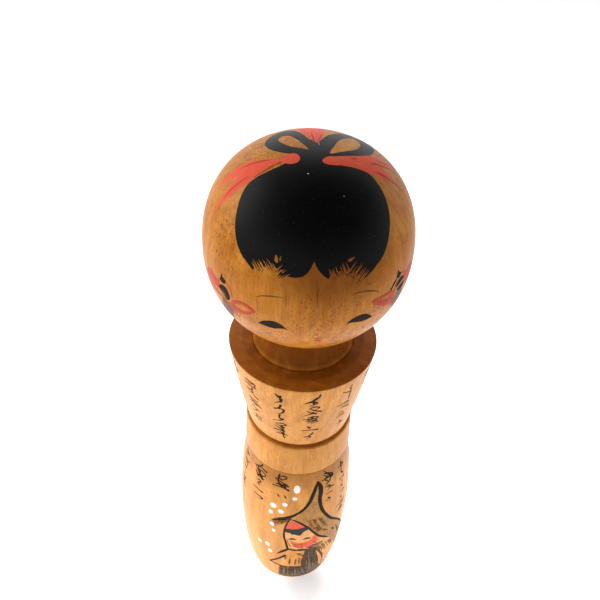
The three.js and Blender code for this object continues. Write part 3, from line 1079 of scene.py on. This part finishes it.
def paint_flowers(inks):
    """Drawn facing the left of the picture, so the face is on the right of each."""
    left = {
        "red": (1, [
            ([(2.0, 2.2), (4.0, 3.5), (6.5, 4.2), (8.8, 3.8), (10.8, 2.7), (11.1, 1.8), (9.8, 0.4),
              (7.8, -0.9),
              (5.4, -2.3), (3.4, -2.9), (1.6, -2.2), (0.4, -0.6)],
             [(3.0, 1.1), (4.6, 2.1), (6.4, 2.4), (8.2, 2.2), (9.4, 1.6), (8.0, 0.7), (6.0, 0.1),
              (4.0, 0.2)]),
            ([(-4.0, 6.6), (-6.2, 6.4), (-8.6, 7.5), (-11.4, 6.8), (-13.6, 4.6), (-13.0, 2.0),
              (-10.6, -0.2),
              (-8.0, 0.0), (-5.8, 1.2), (-4.8, 3.4)],
             [(-7.6, 2.2), (-6.4, 2.4), (-5.8, 1.7), (-7.0, 1.0)]),
        ], [
            [(-0.4, 8.3, 0.4), (0.9, 7.1, 0.7), (1.9, 5.2, 0.6), (2.1, 3.4, 0.7)],
            [(1.6, -2.8, 0.9), (2.6, -4.8, 0.5), (3.6, -7.4, 0.2)],
        ]),
        "dark": (2, [
            ([(-2.6, 10.4), (-2.2, 9.2), (-1.2, 8.9), (-0.6, 8.2), (-1.2, 7.0), (-2.6, 6.8),
              (-3.9, 7.4), (-3.2, 8.7)],),
            ([(-4.7, 3.6), (-3.6, 5.3), (-1.8, 6.0), (-0.2, 5.5), (0.8, 3.8), (0.9, 2.2), (0.0, 0.8),
              (-1.4, 0.7),
              (-2.8, 2.2)],),
        ], []),
        "wash": (1, [
            ([(-3.0, 0.4), (-4.4, -3.0), (-6.2, -7.6), (-6.2, -10.4), (-3.8, -12.4), (-1.4, -11.2),
              (-0.3, -7.6),
              (0.7, -5.0), (1.0, -2.4), (-0.2, -0.8)],),
        ], []),
        "maroon": (3, [], [
            [(-9.8, -0.7, 0.3), (-6.6, -0.1, 0.9), (-3.2, 0.5, 0.8), (-1.2, -0.6, 0.5)],
            [(-2.2, -1.0, 0.6), (-1.4, -3.0, 1.0), (-1.0, -5.2, 0.3)],
            [(0.0, -0.2, 0.9), (1.4, -0.9, 0.8), (2.8, -1.7, 0.3)],
            [(-12.2, 4.8, 0.1), (-9.2, 5.2, 0.4), (-6.0, 4.8, 0.1)],
            [(-3.0, 3.6, 0.2), (-1.6, 2.2, 0.5), (-1.0, 1.2, 0.2)],
            [(3.2, 2.9, 0.1), (6.6, 3.5, 0.4), (9.6, 2.7, 0.1)],
        ]),
    }
    right = {
        "red": (1, [
            ([(0.8, 3.2), (3.0, 3.8), (6.0, 3.9), (8.6, 4.0), (10.9, 3.6), (10.2, 1.8), (8.2, 0.5),
              (6.2, -0.8),
              (3.8, -2.2), (1.4, -2.6), (0.2, -1.0), (0.4, 1.4)],
             [(2.8, 2.0), (4.6, 2.6), (6.6, 2.4), (4.8, 1.5)]),
            ([(-4.2, 6.6), (-6.4, 6.6), (-8.8, 7.6), (-11.4, 6.8), (-13.4, 4.6), (-12.8, 2.2),
              (-10.4, 0.0),
              (-8.0, 0.4), (-6.2, 1.8), (-5.0, 3.8)],
             [(-8.0, 2.6), (-6.8, 2.8), (-6.2, 2.1), (-7.4, 1.4)]),
        ], [
            [(-3.0, 7.6, 0.4), (-5.0, 6.7, 0.7), (-6.8, 4.9, 0.5), (-7.6, 3.0, 0.2)],
            [(0.8, -2.4, 1.0), (1.2, -4.6, 0.7), (0.4, -6.6, 0.2)],
        ]),
        "dark": (2, [
            ([(-0.4, 10.0), (0.2, 8.6), (0.1, 7.2), (-1.2, 6.6), (-2.5, 7.9), (-1.3, 8.7)],),
            ([(-4.8, 4.9), (-2.9, 6.2), (-0.7, 5.7), (0.5, 4.5), (-0.4, 3.1), (-2.4, 3.7)],),
            ([(-5.9, 2.2), (-4.6, 3.0), (-2.6, 2.8), (-1.2, 1.8), (-2.2, 0.7), (-4.6, 0.9)],),
        ], [[(0.1, 7.0, 0.5), (1.4, 5.8, 1.1), (2.6, 4.0, 0.8)]]),
        "wash": (1, [
            ([(-4.4, 1.2), (-5.6, -2.2), (-4.6, -5.2), (-2.2, -6.6), (-0.6, -4.4), (-0.4, -1.4),
              (-1.6, 0.8)],),
        ], [[(1.5, -6.6, 0.7), (1.7, -7.0, 0.7)]]),
        "maroon": (3, [], [
            [(2.2, 3.4, 0.3), (5.4, 3.4, 0.8), (8.6, 3.2, 0.7), (10.4, 3.3, 0.2)],
            [(1.4, 0.4, 0.3), (4.6, 0.2, 0.9), (7.6, 1.4, 0.4), (9.4, 2.4, 0.2)],
            [(0.5, -0.8, 0.5), (-0.5, -3.0, 1.2), (-0.9, -5.4, 0.6)],
            [(-0.6, 5.6, 0.2), (0.2, 3.0, 0.7), (0.2, 0.4, 0.3)],
            [(-10.8, 0.4, 0.2), (-8.0, 1.6, 0.7), (-5.2, 3.2, 0.4)],
        ]),
    }
    paint_flower("left_flower", HeadChart(-50, -9.4), left, inks)
    paint_flower("right_flower", HeadChart(44.5, -4.4, -1), right, inks)


# ---------------------------------------------------------------- the painted body

STROKES = (                                # brush moves in a unit square: x, y, pressure
    ((-0.45, 0.02, 0.7), (0.05, 0.07, 0.8), (0.45, -0.02, 1.2)),
    ((0.20, 0.45, 1.1), (0.08, 0.05, 0.9), (-0.38, -0.42, 0.25)),
    ((-0.22, 0.30, 0.5), (0.05, -0.05, 0.8), (0.42, -0.36, 1.3)),
    ((-0.38, 0.28, 0.7), (0.32, 0.36, 1.1), (0.28, -0.10, 0.8), (-0.12, -0.46, 0.25)),
    ((0.03, 0.50, 1.1), (-0.02, 0.00, 0.8), (0.06, -0.48, 0.9)),
    ((-0.12, 0.16, 0.8), (0.10, -0.14, 1.3)),
    ((-0.30, 0.10, 0.6), (0.05, 0.30, 0.9), (0.30, 0.05, 0.8), (-0.05, -0.30, 0.5)),
)


def brush_mark(rng, x, y, wide, high, count, width):
    """A few overlapping brush strokes that look hand-written and say nothing."""
    parts = []
    for i in range(count):
        move = rng.choice(STROKES)
        level = y + high * (0.36 - 0.72 * (i + 0.5) / count)
        across = wide * rng.uniform(0.55, 1.0)
        tall = high * rng.uniform(0.4, 0.75)
        shift = wide * rng.uniform(-0.14, 0.14)
        parts += stroke([
            (x + shift + mx * across, level + my * tall, width * press * rng.uniform(0.85, 1.2))
            for mx, my, press in move
        ])
    return parts, []


def brush_column(rng, x, top, bottom, size, counts, width):
    """Marks from top down to bottom. counts are the least and most strokes in a mark."""
    patches = []
    y = top
    while y - size * 0.7 > bottom:
        high = size * rng.uniform(0.8, 1.15)
        wide = size * rng.uniform(1.0, 1.5)
        patches.append(brush_mark(rng, x + rng.uniform(-0.5, 0.5), y - high / 2, wide, high,
                                  rng.randint(*counts), width))
        y -= high * rng.uniform(1.0, 1.12)
    return patches


def paint_writing(ink, faded):
    rng = random.Random(7)
    top, bottom = 158.4, 125.4
    upper = []
    for x in (-44.5, -32.5, -10.5, 1.6, 26.5, 38.5):
        upper += brush_column(rng, x, top, bottom, 6.4, (2, 4), 0.85)
    paint("upper_writing", SideChart(cone_radius), upper, ink, BODY, 1, 1.0)
    pale = []
    for x in (-21.5, 14.6):
        pale += brush_column(rng, x, top - 0.4, bottom - 0.4, 5.8, (2, 4), 0.75)
    paint("pale_writing", SideChart(cone_radius), pale, faded, BODY, 1, 1.0)
    lower = []
    for x, wide in ((-21.2, 10.8), (-9.8, 9.8), (13.2, 8.4)):
        lower.append(brush_mark(rng, x, 93.6, wide, 9.4, 9, 0.75))
    columns = ((-20.5, 88.6, 71), (-33, 97, 68), (13.4, 88.4, 72), (22.4, 97.0, 56), (34, 97, 62))
    for x, top, bottom in columns:
        lower += brush_column(rng, x, top, bottom, 4.6, (1, 3), 0.7)
    for x in (-10.4, -7.2):
        lower.append((stroke([(x - 0.3, 85.8, 0.4), (x + 0.3, 84.2, 0.9)]), []))
    paint("lower_writing", SideChart(barrel_radius), lower, ink, BODY, 1, 1.0)


def paint_snow(white):
    flakes = (
        (-2.0, 90.6, 1.5, 2.6), (-2.8, 84.2, 1.1, 1.2), (-7.0, 79.1, 1.2, 1.4), (-12.3, 76.1, 1.6, 1.8),
        (-8.6, 73.2, 1.3, 1.5), (-13.3, 70.3, 1.0, 1.5), (-12.5, 60.6, 1.1, 1.6),
        (-11.6, 55.3, 0.9, 1.3),
        (-14.8, 38.5, 1.2, 1.9), (-19.3, 36.7, 1.2, 1.5), (-13.6, 32.2, 1.1, 1.9),
    )
    snow = areas(*(dot(*flake) for flake in flakes))
    paint("snow", SideChart(barrel_radius), snow, white, BODY, 4, 0.8)


def paint_figure(ink, black, grey, shadow, cloth, brown, red, maroon, skin_tone):
    """A small figure in a pointed straw hood, in the snow."""
    chart = SideChart(barrel_radius)
    rng = random.Random(5)
    bold = [
        [(7.7, 93.8, 0.5), (6.8, 90.6, 1.6), (5.6, 86.4, 1.9), (4.4, 82.0, 1.8), (2.6, 77.8, 1.7),
         (0.2, 74.4, 1.5), (-2.6, 71.6, 1.5), (-5.4, 69.2, 2.2), (-8.6, 67.0, 2.0), (-12.6, 64.3, 0.6)],
        [(7.6, 93.6, 0.6), (8.9, 90.2, 2.1), (9.2, 86.0, 2.3), (8.8, 81.2, 2.0), (9.3, 76.0, 1.7),
         (10.5, 71.0, 1.6), (12.6, 65.6, 1.5), (16.0, 58.8, 1.4), (19.6, 53.4, 1.1), (23.4, 46.6, 1.0),
         (26.6, 39.0, 0.9), (32.4, 22.6, 1.2), (35.0, 14.2, 0.8)],
        [(-4.6, 68.2, 0.6), (-2.2, 67.2, 1.0), (0.8, 64.4, 1.1), (4.0, 60.0, 1.2), (6.8, 54.2, 1.1),
         (9.6, 48.8, 1.3), (12.6, 44.8, 1.2), (15.4, 40.8, 0.5)],
        [(-4.4, 68.1, 0.6), (-5.8, 63.6, 0.8), (-6.6, 58.0, 0.9), (-6.7, 52.2, 1.0), (-5.8, 46.8, 1.0),
         (-4.9, 40.6, 1.2)],
        [(-4.7, 40.4, 0.6), (-3.2, 39.0, 0.9), (0.2, 38.2, 0.9), (4.2, 37.6, 0.8)],
        [(-4.8, 39.4, 1.5), (-7.0, 36.6, 1.6), (-9.8, 32.2, 0.5)],
        [(-5.9, 32.0, 1.5), (-8.6, 27.6, 1.1), (-11.2, 23.6, 1.1), (-13.8, 19.9, 0.9)],
        [(-13.9, 19.8, 1.0), (-11.0, 19.0, 1.2), (-8.2, 18.2, 1.1)],
        [(20.2, 46.4, 0.3), (22.8, 38.4, 1.0), (24.8, 30.4, 0.3)],
        [(17.4, 47.8, 0.9), (18.4, 45.2, 1.2)],
        [(0.0, 34.2, 0.5), (2.6, 31.8, 1.0)], [(-1.0, 35.2, 0.3), (1.6, 34.2, 0.8)],
    ]
    paint("figure_outline", chart, strokes(bold), ink, BODY, 2, 1.0)

    sweep = bristles(rng, [(-4.0, 70.2), (-4.8, 68.4), (-5.6, 66.6)],
                     [(-13.0, 65.2), (-14.2, 61.4), (-13.6, 57.0)], 22, 0.6, (0.65, 1.0))
    hood = bristles(rng, [(3.4, 66.2), (6.4, 66.0), (10.2, 64.6)], [(7.8, 54.4), (11.4, 52.8),
                                                                    (15.6, 51.4)],
                    9, 0.9, (0.5, 1.0))
    hood += bristles(rng, [(5.2, 60.4), (8.2, 57.6), (10.6, 54.0)], [(11.6, 49.8), (14.2, 48.4),
                                                                     (17.0, 46.2)],
                     7, 0.9, (0.5, 0.9))
    hood += bristles(rng, [(4.2, 61.2), (6.0, 57.8), (8.0, 54.2)], [(8.6, 64.8), (10.6, 60.6),
                                                                    (13.4, 57.6)],
                     4, 0.6, (0.6, 0.9))
    straw = [(stroke([(x, top, 0.5), (x - 0.1, (top + low) / 2, 1.0), (x - 0.2, low, 0.3)]), [])
             for x, top, low in ((-5.7, 31.4, 26.8), (-3.5, 28.8, 20.6), (-0.6, 28.4, 20.4),
                                 (1.2, 29.4, 21.6))]
    mantle = bristles(rng, [(9.6, 37.0), (13.4, 37.4), (18.0, 34.6)], [(13.6, 24.6), (17.6, 22.6),
                                                                       (23.6, 18.0)],
                      8, 0.9, (0.35, 0.8))
    mantle += stroke([(-5.3, 50.2, 0.3), (-4.6, 46.0, 0.8), (-3.4, 42.2, 0.4)])
    paint("straw", chart, [(sweep, []), (hood, []), *straw, (mantle, [])],
          brown, BODY, 1, 1.0)
    shade = loop([(8.4, 90.6), (9.0, 82.0), (10.2, 73.6), (13.6, 64.6), (19.0, 55.0), (24.4, 45.4),
                  (29.0, 33.4), (34.4, 16.0),
                  (30.0, 11.6), (23.6, 20.8), (18.8, 33.0), (15.6, 40.6), (12.4, 45.4), (7.6, 53.2),
                  (3.6, 61.0), (-2.4, 67.0), (0.6, 73.8),
                  (4.4, 80.6), (6.6, 88.0)])
    paint("hood_shade", chart, areas(shade), grey, BODY, 0.5, 1.0)

    skirt = loop([(4.6, 38.6), (7.4, 40.6), (11.6, 41.4), (12.4, 39.2), (9.2, 36.4), (8.8, 28.0),
                  (10.0, 20.0),
                  (13.6, 10.6), (16.2, 2.6), (9.0, 1.4), (0.0, 1.2), (-8.8, 2.2), (-9.4, 8.6),
                  (-8.4, 16.6),
                  (-2.6, 17.4), (2.0, 17.2), (2.3, 24.0), (2.6, 30.4), (4.0, 34.6)])
    paint("cloak_shade", chart, areas(skirt), shadow, BODY, 0.5, 1.0)
    cloak = bristles(rng, [(3.6, 36.6), (5.6, 38.4), (8.2, 37.6)], [(4.4, 2.0), (10.4, 1.6),
                                                                    (16.4, 2.2)],
                     16, 1.05, (0.8, 1.0))
    cloak += bristles(rng, [(3.0, 30.4), (4.4, 31.4)], [(2.4, 16.6), (5.0, 8.0)], 5, 1.0, (0.7, 1.0))
    ground = bristles(rng, [(-8.4, 18.2), (-3.0, 18.4), (3.2, 18.2)], [(-9.6, 1.8), (-2.8, 1.2),
                                                                       (6.8, 1.4)],
                      17, 1.15, (0.8, 1.0))
    shoulder = bristles(rng, [(-3.4, 39.6), (2.0, 39.6), (7.0, 41.4)], [(1.6, 37.0), (6.6, 37.0),
                                                                        (12.6, 40.0)],
                        7, 1.3, (0.7, 1.0))
    paint("cloak", chart, [(cloak, []), (ground, []),
                           (shoulder, [])], cloth, BODY, 1, 1.0)

    face = loop([(-6.1, 57.4), (-6.2, 52.2), (-5.4, 47.0), (-4.4, 41.6), (0.0, 40.4), (6.0, 41.0),
                 (8.6, 46.4),
                 (6.6, 52.6), (4.4, 57.4), (-1.0, 60.2)])
    paint("figure_face", chart, areas(face), skin_tone, BODY, 1, 0.9)
    cap = loop([(-4.0, 66.6), (-5.4, 63.4), (-5.7, 60.2), (-2.8, 60.0), (0.0, 60.6), (2.2, 61.2),
                (0.6, 63.4),
                (-1.8, 65.6)])
    scarf = loop([(-3.8, 49.6), (-2.4, 47.6), (0.4, 46.5), (3.6, 46.7), (5.8, 48.5), (7.0, 51.0),
                  (8.2, 49.4),
                  (9.0, 46.0), (8.0, 42.9), (5.6, 41.0), (2.8, 41.2), (-0.4, 41.8), (-2.4, 44.4),
                  (-3.4, 47.0)])
    paint("cap_and_scarf", chart, areas(cap, scarf), red, BODY, 3, 0.9)
    folds = [
        [(-3.4, 46.6, 0.3), (-1.4, 44.9, 0.9), (1.6, 44.7, 0.8), (4.0, 44.9, 0.2)],
        [(-2.4, 43.8, 0.7), (-0.4, 42.0, 1.0), (2.4, 41.2, 0.5)],
        [(1.2, 44.2, 0.6), (2.2, 41.6, 0.3)], [(6.4, 45.8, 0.2), (8.0, 43.6, 0.7), (9.2, 41.2, 0.3)],
        [(-5.5, 60.3, 0.3), (-2.2, 60.1, 0.6), (1.6, 61.0, 0.3)],
    ]
    paint("scarf_folds", chart, strokes(folds), maroon, BODY, 5, 0.9)
    hair = loop([(-6.2, 59.5), (-6.4, 57.0), (-5.0, 56.4), (-4.0, 56.2), (-3.2, 55.1), (-2.0, 55.0),
                 (-0.8, 54.3),
                 (0.6, 54.0), (1.3, 55.6), (2.4, 57.4), (4.0, 58.4), (4.6, 59.8), (2.6, 61.2),
                 (0.4, 60.2),
                 (-3.0, 59.6)])
    eyes = strokes([
        [(-4.6, 50.0, 0.4), (-3.0, 50.7, 1.6), (-1.3, 50.0, 0.5)],
        [(2.1, 49.4, 0.5), (3.7, 50.2, 1.7), (5.5, 49.4, 0.4)],
    ])
    paint("figure_hair", chart, [*areas(hair), *eyes], black, BODY, 4, 0.9)


# ---------------------------------------------------------------- the doll


def make_doll():
    wood = varnished_wood()
    peg = bare_wood()
    black = black_paint()
    ink = thin_paint("ink", (0.006, 0.0062, 0.0065, 1), (0.94, 1.0), 0.5, 0.03)
    faded = thin_paint("faded_ink", (0.014, 0.010, 0.006, 1), (0.6, 1.0), 0.5, 0.03)
    grey = thin_paint("grey_wash", (0.16, 0.12, 0.060, 1), (0.10, 0.75), 0.45)
    shadow = thin_paint("cloak_wash", (0.150, 0.136, 0.110, 1), (0.72, 1.0), 0.45, 0.03)
    cloth = thin_paint("grey_ink", (0.032, 0.031, 0.028, 1), (0.80, 1.0), 0.5, 0.03)
    brown = thin_paint("brown_ink", (0.070, 0.032, 0.009, 1), (0.45, 1.0), 0.5, 0.03)
    red = thin_paint("red_paint", (0.80, 0.072, 0.048, 1), (0.66, 1.0), 0.36)
    deep_red = thin_paint("deep_red_paint", (0.46, 0.026, 0.012, 1), (0.6, 1.0), 0.38)
    maroon = thin_paint("maroon_paint", (0.26, 0.022, 0.010, 1), (0.45, 0.95), 0.38)
    wash = thin_paint("grey_paint", (0.055, 0.045, 0.050, 1), (0.55, 0.9), 0.42)
    stain_and_shade = thin_paint("grain_stain", (0.13, 0.030, 0.002, 1), (0.25, 0.75), 0.4)
    skin_tone = thin_paint("skin_tone", (0.92, 0.50, 0.24, 1), (0.25, 0.6), 0.4)

    turned("turned_head", head_outline(), HEAD, wood, "head")
    turned("turned_neck", neck_outline(), HEAD, wood, "neck_ring")
    turned("turned_upper_body", upper_outline(), BODY, wood, "upper_body")
    turned("turned_belt", belt_outline(), BODY, wood, "waist_ring")
    turned("turned_lower_body", lower_outline(), BODY, wood, "lower_body")
    for node in ("neck_dowel", "waist_dowel"):
        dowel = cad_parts[node]
        dowel.data.materials.clear()
        dowel.data.materials.append(peg)

    white = white_paint()
    paint_hair(black, white)
    paint_bow(black, red, maroon)
    paint_face(ink, brown, deep_red, stain_and_shade)
    paint_flowers({
        "red": (deep_red, "red_paint"), "dark": (ink, "black_paint"),
        "wash": (wash, "black_paint"), "maroon": (maroon, "red_paint"),
    })
    paint_writing(ink, faded)
    paint_snow(white)
    paint_figure(ink, black, grey, shadow, cloth, brown, red, maroon, skin_tone)


bpy.context.scene.view_settings.view_transform = "Standard"
make_camera()
make_light()
make_floor()
make_doll()
